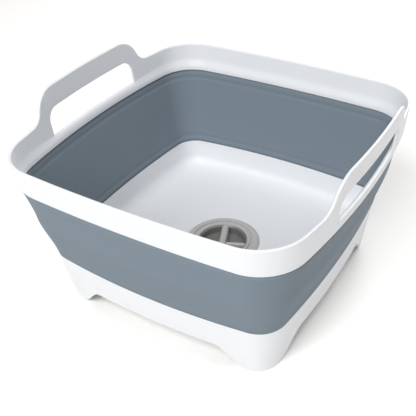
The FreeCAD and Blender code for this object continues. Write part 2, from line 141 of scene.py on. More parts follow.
def steps(low, high, count):
    """Evenly spaced values from low to high, both included."""
    return [low + (high - low) * number / count for number in range(count + 1)]


CORNER_STEPS = 14
corner_columns = [corner_share(share) for share in steps(0.0, 1.0, CORNER_STEPS)]
print("corner columns", len(corner_columns))

# %% [markdown]
# A moulding is made of grids of points. The grids meet edge to edge, so their points are merged, the quarter
# is mirrored in X and in Y, and the faces are turned outwards. Real moulded edges are never sharp: a Bevel
# modifier with hardened normals rounds every edge that turns more than its angle, and keeps wide faces flat.

# %% Helpers that turn grids into a finished piece
MERGE = 1e-6
EDGE_ANGLE = math.radians(32.0)


def add_grid(mesh, rows):
    """Quads through rows of points."""
    made = [[mesh.verts.new(point) for point in row] for row in rows]
    for low, high in zip(made, made[1:]):
        for left in range(len(low) - 1):
            mesh.faces.new((low[left], low[left + 1], high[left + 1], high[left]))


def mirror_quarter(mesh):
    """Copy a quarter to all four quarters and join it along the middle planes."""
    for axis in "XY":
        everything = mesh.verts[:] + mesh.edges[:] + mesh.faces[:]
        bmesh.ops.mirror(mesh, geom=everything, matrix=Matrix.Identity(4), merge_dist=MERGE, axis=axis)


def show(name, mesh):
    """Close up a bmesh and put it in the scene as a smooth object."""
    bmesh.ops.remove_doubles(mesh, verts=mesh.verts[:], dist=MERGE)
    bmesh.ops.dissolve_degenerate(mesh, edges=mesh.edges[:], dist=MERGE)
    loose = [edge for edge in mesh.edges if not edge.link_faces]
    bmesh.ops.delete(mesh, geom=loose, context="EDGES")
    bmesh.ops.recalc_face_normals(mesh, faces=mesh.faces[:])
    data = bpy.data.meshes.new(name)
    mesh.to_mesh(data)
    mesh.free()
    data.shade_smooth()
    piece = bpy.data.objects.new(name, data)
    bpy.context.scene.collection.objects.link(piece)
    return piece


def add_bevel(piece, width, segments=3):
    """A modifier that rounds the sharp edges of a piece."""
    bevel = piece.modifiers.new("rounded edges", "BEVEL")
    bevel.width = width
    bevel.segments = segments
    bevel.limit_method = "ANGLE"
    bevel.angle_limit = EDGE_ANGLE
    bevel.harden_normals = True
    return piece


def apply_modifiers(piece):
    """Replace the mesh of a piece by the one that its modifiers give."""
    evaluated = piece.evaluated_get(bpy.context.evaluated_depsgraph_get())
    data = bpy.data.meshes.new_from_object(evaluated)
    piece.modifiers.clear()
    piece.data = data
    return piece


def open_edges(piece):
    """How many edges don't have exactly two faces, which is none on a closed piece."""
    mesh = bmesh.new()
    mesh.from_mesh(piece.data)
    count = sum(len(edge.link_faces) != 2 for edge in mesh.edges)
    mesh.free()
    return count


def report(piece):
    print(piece.name, len(piece.data.polygons), "faces,", open_edges(piece), "open edges")


print("edges that turn more than", round(math.degrees(EDGE_ANGLE)), "degrees get rounded")

# %% [markdown]
# Heights come from the frame: the soft wall's box tells where the base ends and the rim begins, and the
# rim's box tells how high the handles stand. The other levels are the moulder's own sizes.

# %% Levels
BASE_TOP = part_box("fold_wall")[0].z
RIM_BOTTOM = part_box("fold_wall")[1].z
HANDLE_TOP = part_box("rim_frame")[1].z
RIM_HEIGHT = 0.0295
LEDGE_HEIGHT = 0.0095
RIM_TOP = RIM_BOTTOM + RIM_HEIGHT
LEDGE = RIM_BOTTOM + LEDGE_HEIGHT


def rim_at(height):
    return between(RIM_LOW_OUTLINE, RIM_OUTLINE, (height - RIM_BOTTOM) / (RIM_TOP - RIM_BOTTOM))


def wall_at(height):
    return between(BASE_OUTLINE, RIM_LOW_OUTLINE, (height - BASE_TOP) / (RIM_BOTTOM - BASE_TOP))


def base_at(height):
    return between(FOOT_OUTLINE, BASE_OUTLINE, height / BASE_TOP)


def shell_point(level, column, height, inset):
    """Point on a wall: on the outline of its height, in a column, moved inwards."""
    outline = level(height)
    return (*outline_point(outline, column(outline), inset), height)


print("levels", BASE_TOP, RIM_BOTTOM, LEDGE, RIM_TOP, HANDLE_TOP)

# %% [markdown]
# The rim is one white moulding. Its two handles rise from it in a smooth S and each has a long hand slot.
# A slot could be cut with a Boolean, but that leaves long thin faces whose shading ripples. Here the faces
# run as spokes from the edge of the slot to the edge of the handle, so the bevel finds clean corners.

# %% Half a handle, drawn flat
RIM_WALL = 0.003
RIM_BAND = 0.005
HANDLE_FOOT = 0.092
FOOT_RADIUS = 0.016
HANDLE_CORNER = 0.026
SLOT_HALF = 0.065
SLOT_CORNER = 0.012
GRIP_HEIGHT = 0.022
SLOT_TOP = HANDLE_TOP - GRIP_HEIGHT
SIDE_SEAM = 0.100
SPOKE_STEPS = 5
SEAM_STEPS = 4


def arc(centre_y, centre_z, radius, start, end, count):
    """Points along an arc, its first point left out."""
    turns = [math.radians(turn) for turn in steps(start, end, count)[1:]]
    return [(centre_y + radius * math.cos(turn), centre_z + radius * math.sin(turn)) for turn in turns]


def line(start, end, count):
    """Points along a straight run, its first point left out."""
    return [(start[0] + (end[0] - start[0]) * share, start[1] + (end[1] - start[1]) * share)
            for share in steps(0.0, 1.0, count)[1:]]


rise = HANDLE_TOP - RIM_TOP
both_radii = FOOT_RADIUS + HANDLE_CORNER
run = math.sqrt(rise * (2.0 * both_radii - rise))
shoulder = HANDLE_FOOT - run
lean = math.degrees(math.acos(1.0 - rise / both_radii))

top_edge = [(0.0, HANDLE_TOP)]
top_edge += line((0.0, HANDLE_TOP), (shoulder, HANDLE_TOP), 6)
top_edge += arc(shoulder, HANDLE_TOP - HANDLE_CORNER, HANDLE_CORNER, 90.0, 90.0 - lean, 8)
top_edge += arc(HANDLE_FOOT, RIM_TOP + FOOT_RADIUS, FOOT_RADIUS, 270.0 - lean, 270.0, 6)
top_edge += line((HANDLE_FOOT, RIM_TOP), (SIDE_SEAM, RIM_TOP), 2)
seam = line((SIDE_SEAM, RIM_TOP), (SIDE_SEAM, LEDGE), SEAM_STEPS)
slot_edge = [(0.0, SLOT_TOP)]
slot_edge += line((0.0, SLOT_TOP), (SLOT_HALF - SLOT_CORNER, SLOT_TOP), 8)
slot_edge += arc(SLOT_HALF - SLOT_CORNER, SLOT_TOP - SLOT_CORNER, SLOT_CORNER, 90.0, 0.0, 10)
slot_edge += line((SLOT_HALF, SLOT_TOP - SLOT_CORNER), (SLOT_HALF, LEDGE), 8)
print("handle spokes", len(top_edge + seam), len(slot_edge))

# %% [markdown]
# The flat drawing is laid on the outside and on the inside of the rim wall, the rest of the ring is added as
# plain rows, and strips close the top edge, the slot, the inner ledge and the underside. The ledge slopes
# inwards, so that water runs off it, and the bevel rounds the thin top edge almost fully.

# %% Rim with its handles
EDGE_ROUND = 0.0014
LEDGE_SLOPE = 0.0030
SEAM_GAP = 0.005
END_REACH = 0.096


def rim_point(column, height, inset):
    return shell_point(rim_at, column, height, inset)


def laid(path, inset):
    """A path of the flat drawing, laid on the rim wall."""
    return [rim_point(across(y), z, inset) for y, z in path]


def make_rim():
    mesh = bmesh.new()
    outer_edge = top_edge + seam
    spokes = [[tuple(Vector(a).lerp(Vector(b), share)) for a, b in zip(slot_edge, outer_edge)]
              for share in steps(0.0, 1.0, SPOKE_STEPS)]
    ring = [across(SIDE_SEAM), across(SIDE_SEAM + SEAM_GAP)] + corner_columns
    ring += [along(x) for x in steps(END_REACH, 0.0, 8)]
    for inset in (0.0, RIM_WALL):
        add_grid(mesh, [laid(row, inset) for row in spokes])
        add_grid(mesh, [[rim_point(column, z, inset) for column in ring]
                        for z in steps(RIM_TOP, LEDGE, SEAM_STEPS)])
    add_grid(mesh, [laid(slot_edge, 0.0), laid(slot_edge, RIM_WALL)])
    add_grid(mesh, [laid(top_edge, 0.0), laid(top_edge, RIM_WALL)])
    add_grid(mesh, [[rim_point(column, RIM_TOP, inset) for column in ring] for inset in (0.0, RIM_WALL)])
    under_slot = [across(y) for y in steps(0.0, SLOT_HALF, 6)]
    beside_slot = [across(y) for y in steps(SLOT_HALF, SIDE_SEAM, SPOKE_STEPS)]
    band = under_slot + beside_slot[1:] + ring[1:]
    ledge_low = LEDGE - LEDGE_SLOPE
    for inset, high in ((0.0, LEDGE), (RIM_BAND, ledge_low)):
        add_grid(mesh, [[rim_point(column, z, inset) for column in band] for z in steps(RIM_BOTTOM, high, 2)])
    ledge = ((LEDGE, RIM_WALL), (ledge_low, RIM_BAND))
    add_grid(mesh, [[rim_point(column, z, inset) for column in band] for z, inset in ledge])
    add_grid(mesh, [[rim_point(column, LEDGE, inset) for column in under_slot] for inset in (0.0, RIM_WALL)])
    add_grid(mesh, [[rim_point(column, RIM_BOTTOM, inset) for column in band] for inset in (0.0, RIM_BAND)])
    bmesh.ops.remove_doubles(mesh, verts=mesh.verts[:], dist=MERGE)
    mirror_quarter(mesh)
    return apply_modifiers(add_bevel(show("rim_moulding", mesh), EDGE_ROUND))


rim = make_rim()
report(rim)

# %% [markdown]
# The folding wall is soft elastomer moulded between the two white parts. Its outside has two shallow creases
# where the fold turns over and swells a little between them. Inside, two thin bands act as hinges. A
# Solidify modifier could thicken a single surface, but here the two sides differ. So the whole section is
# drawn once, as heights and insets, with every corner softened as on real rubber, and lofted round.

# %% Section of the soft wall
WALL = 0.003
RIM_OVERHANG = 0.0005
CREASE = RIM_BOTTOM - 0.027
LOWER_CREASE = BASE_TOP + 0.0125
SWELL = CREASE - 0.0150
CREASE_DEPTH = 0.0008
SWELL_HEIGHT = 0.0009
HINGE_HALF = 0.00265
HINGE_DEPTH = 0.0007
LOWER_HINGE = BASE_TOP + 0.0042 + HINGE_HALF
UPPER_HINGE = RIM_BOTTOM - 0.0062 - HINGE_HALF
OUTER_SOFTNESS = 0.0055
INNER_SOFTNESS = 0.0022
SOFT_STEPS = 4
NEARLY_HALF = 0.48
LONGEST_ROW = 0.006

wall_outside = [(BASE_TOP, 0.0), (LOWER_CREASE, CREASE_DEPTH), (SWELL, -SWELL_HEIGHT),
                (CREASE, CREASE_DEPTH), (RIM_BOTTOM, RIM_OVERHANG)]
wall_inside = [(RIM_BOTTOM, WALL)]
for hinge in (UPPER_HINGE, LOWER_HINGE):
    wall_inside += [(hinge + HINGE_HALF, WALL), (hinge, WALL - HINGE_DEPTH), (hinge - HINGE_HALF, WALL)]
wall_inside.append((BASE_TOP, WALL))
print("wall section points", len(wall_outside), len(wall_inside))

# %% [markdown]
# The soft wall bends when the bowl folds, so its long straight runs are split into rows that can follow.

# %% Soft wall


def softened(section, softness):
    """A section with each inner corner replaced by a short curve."""
    made = [section[0]]
    for before, corner, after in zip(section, section[1:], section[2:]):
        corner = Vector(corner)
        to_before = Vector(before) - corner
        to_after = Vector(after) - corner
        reach = min(softness, to_before.length * NEARLY_HALF, to_after.length * NEARLY_HALF)
        start = corner + to_before.normalized() * reach
        end = corner + to_after.normalized() * reach
        for share in steps(0.0, 1.0, SOFT_STEPS):
            made.append(tuple(start.lerp(corner, share).lerp(corner.lerp(end, share), share)))
    return made + [section[-1]]


def divided(section):
    """A section with long runs split, so that it can bend when the bowl folds."""
    made = [section[0]]
    for start, end in zip(section, section[1:]):
        count = max(1, math.ceil(abs(end[0] - start[0]) / LONGEST_ROW))
        made += line(start, end, count)
    return made


def make_wall():
    columns = [side_share(share) for share in steps(0.0, 1.0, 10)[:-1]]
    columns += corner_columns
    columns += [end_share(share) for share in steps(0.0, 1.0, 10)[1:]]
    section = divided(softened(wall_outside, OUTER_SOFTNESS))
    section += divided(softened(wall_inside, INNER_SOFTNESS))
    section.append(section[0])
    mesh = bmesh.new()
    add_grid(mesh, [[shell_point(wall_at, column, z, inset) for column in columns] for z, inset in section])
    bmesh.ops.remove_doubles(mesh, verts=mesh.verts[:], dist=MERGE)
    mirror_quarter(mesh)
    return show("soft_wall", mesh)


wall = make_wall()
report(wall)

# %% [markdown]
# The base is the second white moulding: a shallow tray with rounded bottom corners, on a skirt that is cut
# into four feet by low arches. An arch is flat in the middle and runs down to the feet in a soft S, here half
# a wave of a cosine. The arches could be cut out afterwards, but when every column starts at its own height
# the faces stay even. Columns stand closer together where an arch bends.

# %% Base columns and arches
FLOOR = 0.028
FLOOR_UNDER = 0.025
BASE_WALL = 0.003
FLOOR_ROUND = 0.012
DRAIN_HOLE = 0.0308
ARCH_HEIGHT = 0.024
ARCH_HALF = 0.0955
ARCH_END = 0.0315
flat_reach = [(reach, ARCH_HEIGHT) for reach in steps(0.0, ARCH_HALF - ARCH_END, 6)[:-1]]
end_reach = [(ARCH_HALF - ARCH_END * (1.0 - share), ARCH_HEIGHT * (1.0 + math.cos(math.pi * share)) / 2.0)
             for share in steps(0.0, 1.0, 12)]
arch = flat_reach + end_reach
base_columns = [(across(y), z) for y, z in arch]
base_columns += [(column, 0.0) for column in corner_columns]
base_columns += [(along(x), z) for x, z in reversed(arch)]
print("base columns", len(base_columns))

# %% [markdown]
# The tray is built from the outside in: outer skirt, feet, inner skirt, underside, hole, floor, rounded
# floor corner and inner wall. The floor's rows run from the rounded square to the round drain hole.

# %% Base tray
OUTER_ROWS = 9
FLOOR_ROWS = 7
ROUND_STEPS = 8
BASE_ROUND = 0.0008


def base_point(column, height, inset):
    return shell_point(base_at, column, height, inset)


def floor_row(height, inset, share):
    """A row of the floor, part of the way from its outline to the drain hole."""
    row = []
    for column, low in base_columns:
        x, y, z = base_point(column, height, inset)
        away = math.hypot(x, y)
        shrink = (away + (DRAIN_HOLE - away) * share) / away
        row.append((x * shrink, y * shrink, z))
    return row


def make_base():
    mesh = bmesh.new()
    add_grid(mesh, [[base_point(column, low + (BASE_TOP - low) * share, 0.0) for column, low in base_columns]
                    for share in steps(0.0, 1.0, OUTER_ROWS)])
    add_grid(mesh, [[base_point(column, low, inset) for column, low in base_columns]
                    for inset in (0.0, BASE_WALL)])
    add_grid(mesh, [[base_point(column, low + (FLOOR_UNDER - low) * share, BASE_WALL)
                     for column, low in base_columns] for share in steps(0.0, 1.0, 3)])
    add_grid(mesh, [floor_row(FLOOR_UNDER, BASE_WALL, share) for share in steps(0.0, 1.0, FLOOR_ROWS)])
    floor_inset = BASE_WALL + FLOOR_ROUND
    add_grid(mesh, [floor_row(FLOOR_UNDER, BASE_WALL, 1.0), floor_row(FLOOR, floor_inset, 1.0)])
    add_grid(mesh, [floor_row(FLOOR, floor_inset, share) for share in steps(1.0, 0.0, FLOOR_ROWS)])
    rounding = []
    for turn in steps(0.0, QUARTER_TURN, ROUND_STEPS):
        height = FLOOR + FLOOR_ROUND * (1.0 - math.cos(turn))
        inset = BASE_WALL + FLOOR_ROUND * (1.0 - math.sin(turn))
        rounding.append([base_point(column, height, inset) for column, low in base_columns])
    add_grid(mesh, rounding)
    add_grid(mesh, [[base_point(column, z, BASE_WALL) for column, low in base_columns]
                    for z in steps(FLOOR + FLOOR_ROUND, BASE_TOP, 3)])
    add_grid(mesh, [[base_point(column, BASE_TOP, inset) for column, low in base_columns]
                    for inset in (BASE_WALL, 0.0)])
    bmesh.ops.remove_doubles(mesh, verts=mesh.verts[:], dist=MERGE)
    mirror_quarter(mesh)
    return apply_modifiers(add_bevel(show("base_moulding", mesh), BASE_ROUND))


base = make_base()
report(base)

# %% [markdown]
# The drain's flange, plug and seal are round, so each is a closed section turned about the upright axis.
# Blender has a Screw modifier for this. A loop over angles does the same and leaves a closed mesh at once.

# %% Turned pieces
TURN_STEPS = 96


def turned(mesh, section):
    """Turn a closed section of radius and height about the upright axis."""
    closed = section + section[:1]
    rows = []
    for number in range(TURN_STEPS + 1):
        turn = FULL_TURN * number / TURN_STEPS
        rows.append([(radius * math.cos(turn), radius * math.sin(turn), z) for radius, z in closed])
    add_grid(mesh, rows)


def bulge(start, end, radius, count):
    """Points on an arc that bulges upwards from one point to another, both included."""
    start, end = Vector(start), Vector(end)
    chord = end - start
    depth = math.sqrt(radius ** 2 - (chord.length / 2.0) ** 2)
    down = Vector((chord.y, -chord.x)).normalized()
    centre = (start + end) / 2.0 + down * depth
    first = math.atan2(start.y - centre.y, start.x - centre.x)
    last = math.atan2(end.y - centre.y, end.x - centre.x)
    return [(centre.x + radius * math.cos(turn), centre.y + radius * math.sin(turn))
            for turn in steps(first, last, count)]


print("turned pieces have", TURN_STEPS, "steps")

# %% [markdown]
# The flange is clamped through the floor. Inside the bowl it shows as a rounded bead with a groove round the
# plug, and under the floor as a short spigot that ends in a strainer. The strainer is a flat curve object
# with eight slots: Blender fills the outline, leaves the slots open and gives the plate its thickness.

# %% Drain flange with its strainer
FLANGE_LOW, FLANGE_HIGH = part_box("drain_flange")
FLANGE_EDGE = FLANGE_HIGH.x
BEAD_INNER = 0.0322
BEAD_CURVE = 0.0064
PLUG_SEAT = FLOOR + 0.0012
PLUG_TOP = PLUG_SEAT + 0.0014
BORE = 0.0273
SPIGOT = 0.0305
GASKET_TOP = FLOOR + 0.0008
GASKET_RECESS = 0.0363
STRAINER = 0.002
STRAINER_HUB = 0.0080
STRAINER_REACH = 0.0240
STRAINER_SLOTS = 8
SLOT_SIDE = 0.0018
CIRCLE_POINTS = 96
STRAINER_GRIP = 0.001
FLANGE_ROUND = 0.0003


def add_loop(curve, points):
    """A closed outline of straight edges."""
    spline = curve.splines.new("POLY")
    spline.points.add(len(points) - 1)
    for point, place in zip(spline.points, points):
        point.co = (*place, 0.0, 1.0)
    spline.use_cyclic_u = True


def make_strainer():
    curve = bpy.data.curves.new("strainer", "CURVE")
    curve.dimensions = "2D"
    curve.fill_mode = "BOTH"
    curve.extrude = STRAINER / 2.0
    turns = steps(0.0, FULL_TURN, CIRCLE_POINTS)[:-1]
    edge = BORE + STRAINER_GRIP
    add_loop(curve, [(edge * math.cos(turn), edge * math.sin(turn)) for turn in turns])
    slot = [(STRAINER_HUB, -SLOT_SIDE), (STRAINER_REACH, -SLOT_SIDE), (STRAINER_REACH, SLOT_SIDE),
            (STRAINER_HUB, SLOT_SIDE)]
    for turn in steps(0.0, FULL_TURN, STRAINER_SLOTS)[:-1]:
        add_loop(curve, [tuple(Matrix.Rotation(turn, 2) @ Vector(corner)) for corner in slot])
    plate = bpy.data.objects.new("strainer", curve)
    data = bpy.data.meshes.new_from_object(plate)
    data.transform(Matrix.Translation((0.0, 0.0, FLANGE_LOW.z + STRAINER / 2.0)))
    bpy.data.objects.remove(plate)
    return data


def make_flange():
    mesh = bmesh.new()
    bead = bulge((BEAD_INNER, PLUG_TOP), (FLANGE_EDGE, PLUG_SEAT), BEAD_CURVE, 12)
    section = [(BORE, FLANGE_LOW.z), (BORE, PLUG_SEAT), (BEAD_INNER, PLUG_SEAT)] + bead
    section += [(FLANGE_EDGE, FLOOR), (GASKET_RECESS, FLOOR), (GASKET_RECESS, GASKET_TOP),
                (SPIGOT, GASKET_TOP), (SPIGOT, FLANGE_LOW.z)]
    turned(mesh, section)
    mesh.from_mesh(make_strainer())
    return apply_modifiers(add_bevel(show("flange_moulding", mesh), FLANGE_ROUND, 2))


flange = make_flange()
report(flange)

# %% [markdown]
# The plug is a shallow cup with a thin lip and a flared mouth. A raised bar across it is pinched between two
# fingers to pull it, and a lower rib crosses the bar. The bar's upper edges are well rounded, so it gets a
# wide bevel of its own.

# %% Plug and seal
PLUG_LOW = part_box("drain_plug")[0].z
CUP_FLOOR = PLUG_LOW + 0.002
PLUG_LIP = 0.0290
PLUG_OUTSIDE = 0.0270
PLUG_INSIDE = 0.0240
CUP_MOUTH = 0.0262
MOUTH_DEPTH = 0.0020
SEAL_LOW, SEAL_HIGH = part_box("plug_seal")
SEAL_SECTION = SEAL_HIGH.z - SEAL_LOW.z
SEAL_MIDDLE = (SEAL_HIGH.z + SEAL_LOW.z) / 2.0
SEAL_ROOM = 0.00005
SEAL_STEPS = 14
GROOVE = SEAL_HIGH.x - SEAL_SECTION - SEAL_ROOM
PLUG_TURN = math.radians(23.0)
BAR_WIDTH = 0.0076
BAR_TOP = PLUG_TOP - 0.0006
RIB_WIDTH = 0.0042
RIB_TOP = PLUG_TOP - 0.0040
BAR_REACH = 0.0252
BAR_SUNK = 0.0005
BAR_ROUND = 0.42
PLUG_ROUND = 0.0004


def round_bar(width, top, turn):
    """A bar on the cup's floor with rounded long edges, as a mesh."""
    mesh = bmesh.new()
    bmesh.ops.create_cube(mesh, size=1.0)
    height = top - CUP_FLOOR + BAR_SUNK
    bmesh.ops.scale(mesh, vec=(2.0 * BAR_REACH, width, height), verts=mesh.verts[:])
    bmesh.ops.translate(mesh, vec=(0.0, 0.0, top - height / 2.0), verts=mesh.verts[:])
    long_edges = [edge for edge in mesh.edges
                  if all(vert.co.z > top - MERGE for vert in edge.verts)
                  and abs(edge.verts[0].co.x - edge.verts[1].co.x) > BAR_REACH]
    bmesh.ops.bevel(mesh, geom=long_edges, offset=width * BAR_ROUND, segments=6, profile=0.5, affect="EDGES")
    bmesh.ops.rotate(mesh, cent=(0.0, 0.0, 0.0), matrix=Matrix.Rotation(turn, 3, "Z"), verts=mesh.verts[:])
    data = bpy.data.meshes.new("bar")
    mesh.to_mesh(data)
    mesh.free()
    return data


def make_plug():
    mesh = bmesh.new()
    half_groove = SEAL_SECTION / 2.0 + SEAL_ROOM
    turned(mesh, [(0.0, PLUG_LOW), (PLUG_OUTSIDE, PLUG_LOW), (PLUG_OUTSIDE, SEAL_MIDDLE - half_groove),
                  (GROOVE, SEAL_MIDDLE - half_groove), (GROOVE, SEAL_MIDDLE + half_groove),
                  (PLUG_OUTSIDE, SEAL_MIDDLE + half_groove), (PLUG_OUTSIDE, PLUG_SEAT), (PLUG_LIP, PLUG_SEAT),
                  (PLUG_LIP, PLUG_TOP), (CUP_MOUTH, PLUG_TOP), (PLUG_INSIDE, PLUG_TOP - MOUTH_DEPTH),
                  (PLUG_INSIDE, CUP_FLOOR), (0.0, CUP_FLOOR)])
    mesh.from_mesh(round_bar(BAR_WIDTH, BAR_TOP, PLUG_TURN + QUARTER_TURN))
    mesh.from_mesh(round_bar(RIB_WIDTH, RIB_TOP, PLUG_TURN))
    return apply_modifiers(add_bevel(show("plug_moulding", mesh), PLUG_ROUND))


def make_seal():
    mesh = bmesh.new()
    half = SEAL_SECTION / 2.0
    middle = SEAL_HIGH.x - half
    turns = steps(0.0, FULL_TURN, SEAL_STEPS)[:-1]
    turned(mesh, [(middle + half * math.cos(turn), SEAL_MIDDLE + half * math.sin(turn)) for turn in turns])
    return show("seal_ring", mesh)


plug = make_plug()
seal = make_seal()
report(plug)
report(seal)

# %% [markdown]
# The gasket and the lock nut keep the shapes of the frame. The nut's corners are rounded by a modifier, which
# leaves the frame's own mesh as it is.

# %% Pieces kept from the frame
KEPT_ROUND = 0.0002
for name in ("lock_nut", "floor_gasket"):
    nodes[name].data.shade_smooth()
    add_bevel(nodes[name], KEPT_ROUND, 2)
    print(name, "kept, with", len(nodes[name].data.polygons), "faces")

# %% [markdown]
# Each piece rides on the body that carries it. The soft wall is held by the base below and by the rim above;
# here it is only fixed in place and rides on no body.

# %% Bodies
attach(rim, "rim")
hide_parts("rim_frame")
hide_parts("fold_wall")
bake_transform(wall)
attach(base, "base")
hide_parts("base_tray")
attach(flange, "base")
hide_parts("drain_flange")
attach(plug, "plug")
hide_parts("drain_plug")
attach(seal, "plug")
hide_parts("plug_seal")

# %% [markdown]
# Three effects are shared by the materials, so each is a shader node group. Moulded grain is the fine
# unevenness of a moulded skin, as a height for a Bump node. Handling marks are faint rubbed patches and hair
# scratches that change the roughness. Tint drift is the slow change of colour of moulded plastic.

# %% Shared effects
def new_group(name, inputs, outputs):
    """An empty node group with float or colour sockets."""
    tree = bpy.data.node_groups.new(name, "ShaderNodeTree")
    for in_out, sockets in (("INPUT", inputs), ("OUTPUT", outputs)):
        for socket, kind in sockets:
            tree.interface.new_socket(socket, in_out=in_out, socket_type=kind)
    return tree, tree.nodes.new("NodeGroupInput"), tree.nodes.new("NodeGroupOutput")


def add_node(tree, kind, settings=None, values=None):
    """A node with its settings and its unlinked socket values."""
    node = tree.nodes.new(kind)
    for name, value in (settings or {}).items():
        setattr(node, name, value)
    for socket, value in (values or {}).items():
        node.inputs[socket].default_value = value
    return node


FLOAT, COLOUR = "NodeSocketFloat", "NodeSocketColor"


def grain_group():
    """Height of a fine moulded skin."""
    tree, inside, outside = new_group("moulded grain", [("Scale", FLOAT)], [("Height", FLOAT)])
    place = add_node(tree, "ShaderNodeTexCoord")
    fine = add_node(tree, "ShaderNodeTexNoise", values={"Detail": 3.0, "Roughness": 0.6})
    tree.links.new(place.outputs["Object"], fine.inputs["Vector"])
    tree.links.new(inside.outputs["Scale"], fine.inputs["Scale"])
    tree.links.new(fine.outputs["Fac"], outside.inputs["Height"])
    return tree


def marks_group():
    """Roughness with rubbed patches and hair scratches."""
    tree, inside, outside = new_group("handling marks", [("Roughness", FLOAT), ("Amount", FLOAT)],
                                      [("Roughness", FLOAT)])
    place = add_node(tree, "ShaderNodeTexCoord")
    patches = add_node(tree, "ShaderNodeTexNoise", values={"Scale": 22.0, "Detail": 4.0})
    stretch = add_node(tree, "ShaderNodeMapping", values={"Scale": (35.0, 900.0, 500.0),
                                                          "Rotation": (0.2, 0.1, 0.6)})
    hairs = add_node(tree, "ShaderNodeTexNoise", values={"Scale": 1.0, "Detail": 2.0})
    thin = add_node(tree, "ShaderNodeMapRange", values={"From Min": 0.62, "From Max": 0.72})
    centred = add_node(tree, "ShaderNodeMath", {"operation": "SUBTRACT"}, {1: 0.5})
    both = add_node(tree, "ShaderNodeMath", {"operation": "ADD"})
    scaled = add_node(tree, "ShaderNodeMath", {"operation": "MULTIPLY"})
    total = add_node(tree, "ShaderNodeMath", {"operation": "ADD", "use_clamp": True})
    tree.links.new(place.outputs["Object"], patches.inputs["Vector"])
    tree.links.new(place.outputs["Object"], stretch.inputs["Vector"])
    tree.links.new(stretch.outputs["Vector"], hairs.inputs["Vector"])
    tree.links.new(hairs.outputs["Fac"], thin.inputs["Value"])
    tree.links.new(patches.outputs["Fac"], centred.inputs[0])
    tree.links.new(centred.outputs["Value"], both.inputs[0])
    tree.links.new(thin.outputs["Result"], both.inputs[1])
    tree.links.new(both.outputs["Value"], scaled.inputs[0])
    tree.links.new(inside.outputs["Amount"], scaled.inputs[1])
    tree.links.new(scaled.outputs["Value"], total.inputs[0])
    tree.links.new(inside.outputs["Roughness"], total.inputs[1])
    tree.links.new(total.outputs["Value"], outside.inputs["Roughness"])
    return tree


def tint_group():
    """A colour that drifts slowly towards a second one."""
    tree, inside, outside = new_group("tint drift", [("Colour", COLOUR), ("Drifted", COLOUR)],
                                      [("Colour", COLOUR)])
    place = add_node(tree, "ShaderNodeTexCoord")
    slow = add_node(tree, "ShaderNodeTexNoise", values={"Scale": 9.0, "Detail": 5.0})
    mix = add_node(tree, "ShaderNodeMix", {"data_type": "RGBA"})
    tree.links.new(place.outputs["Object"], slow.inputs["Vector"])
    tree.links.new(slow.outputs["Fac"], mix.inputs["Factor"])
    tree.links.new(inside.outputs["Colour"], mix.inputs["A"])
    tree.links.new(inside.outputs["Drifted"], mix.inputs["B"])
    tree.links.new(mix.outputs["Result"], outside.inputs["Colour"])
    return tree


grain = grain_group()
marks = marks_group()
tint = tint_group()
print("shared effects", [group.name for group in bpy.data.node_groups])

# %% [markdown]
# The bowl is made of satin white polypropylene, matt grey elastomer, light grey drain plastic and black
# rubber. They differ in colour, gloss and grain, so one function builds them from their own values. White
# polypropylene is a little see-through, so it also lets some light travel inside it.

# %% Materials
def moulded_material(name, colour, drifted, roughness, marks_amount, grain_scale, grain_depth, specular):
    """A moulded plastic or rubber with drifting tint, handling marks and a fine grain."""
    material = bpy.data.materials.new(name)
    material.use_nodes = True
    tree = material.node_tree
    shader = tree.nodes["Principled BSDF"]
    shader.inputs["Specular IOR Level"].default_value = specular
    tint_node = add_node(tree, "ShaderNodeGroup", {"node_tree": tint}, {"Colour": (*colour, 1.0),
                                                                        "Drifted": (*drifted, 1.0)})
    marks_node = add_node(tree, "ShaderNodeGroup", {"node_tree": marks}, {"Roughness": roughness,
                                                                          "Amount": marks_amount})
    grain_node = add_node(tree, "ShaderNodeGroup", {"node_tree": grain}, {"Scale": grain_scale})
    bump = add_node(tree, "ShaderNodeBump", values={"Strength": 0.6, "Distance": grain_depth})
    tree.links.new(tint_node.outputs["Colour"], shader.inputs["Base Color"])
    tree.links.new(marks_node.outputs["Roughness"], shader.inputs["Roughness"])
    tree.links.new(grain_node.outputs["Height"], bump.inputs["Height"])
    tree.links.new(bump.outputs["Normal"], shader.inputs["Normal"])
    return material


def let_light_through(material, share, depth):
    """Some of the light that enters the plastic comes out again a little further on."""
    shader = material.node_tree.nodes["Principled BSDF"]
    shader.inputs["Subsurface Weight"].default_value = share
    shader.inputs["Subsurface Radius"].default_value = (1.0, 1.0, 1.0)
    shader.inputs["Subsurface Scale"].default_value = depth


white_plastic = moulded_material("white polypropylene", colour=(0.735, 0.748, 0.768),
                                 drifted=(0.717, 0.730, 0.752), roughness=0.38, marks_amount=0.10,
                                 grain_scale=700.0, grain_depth=0.00002, specular=0.5)
let_light_through(white_plastic, share=0.3, depth=0.002)
grey_elastomer = moulded_material("grey elastomer", colour=(0.174, 0.215, 0.252),
                                  drifted=(0.164, 0.202, 0.237), roughness=0.60, marks_amount=0.12,
                                  grain_scale=1100.0, grain_depth=0.00004, specular=0.12)
drain_plastic = moulded_material("drain plastic", colour=(0.47, 0.465, 0.455),
                                 drifted=(0.44, 0.435, 0.43), roughness=0.42, marks_amount=0.12,
                                 grain_scale=900.0, grain_depth=0.00002, specular=0.5)
black_rubber = moulded_material("black rubber", colour=(0.03, 0.03, 0.032),
                                drifted=(0.04, 0.04, 0.04), roughness=0.60, marks_amount=0.15,
                                grain_scale=900.0, grain_depth=0.00003, specular=0.4)


def paint(piece, material):
    piece.data.materials.clear()
    piece.data.materials.append(material)


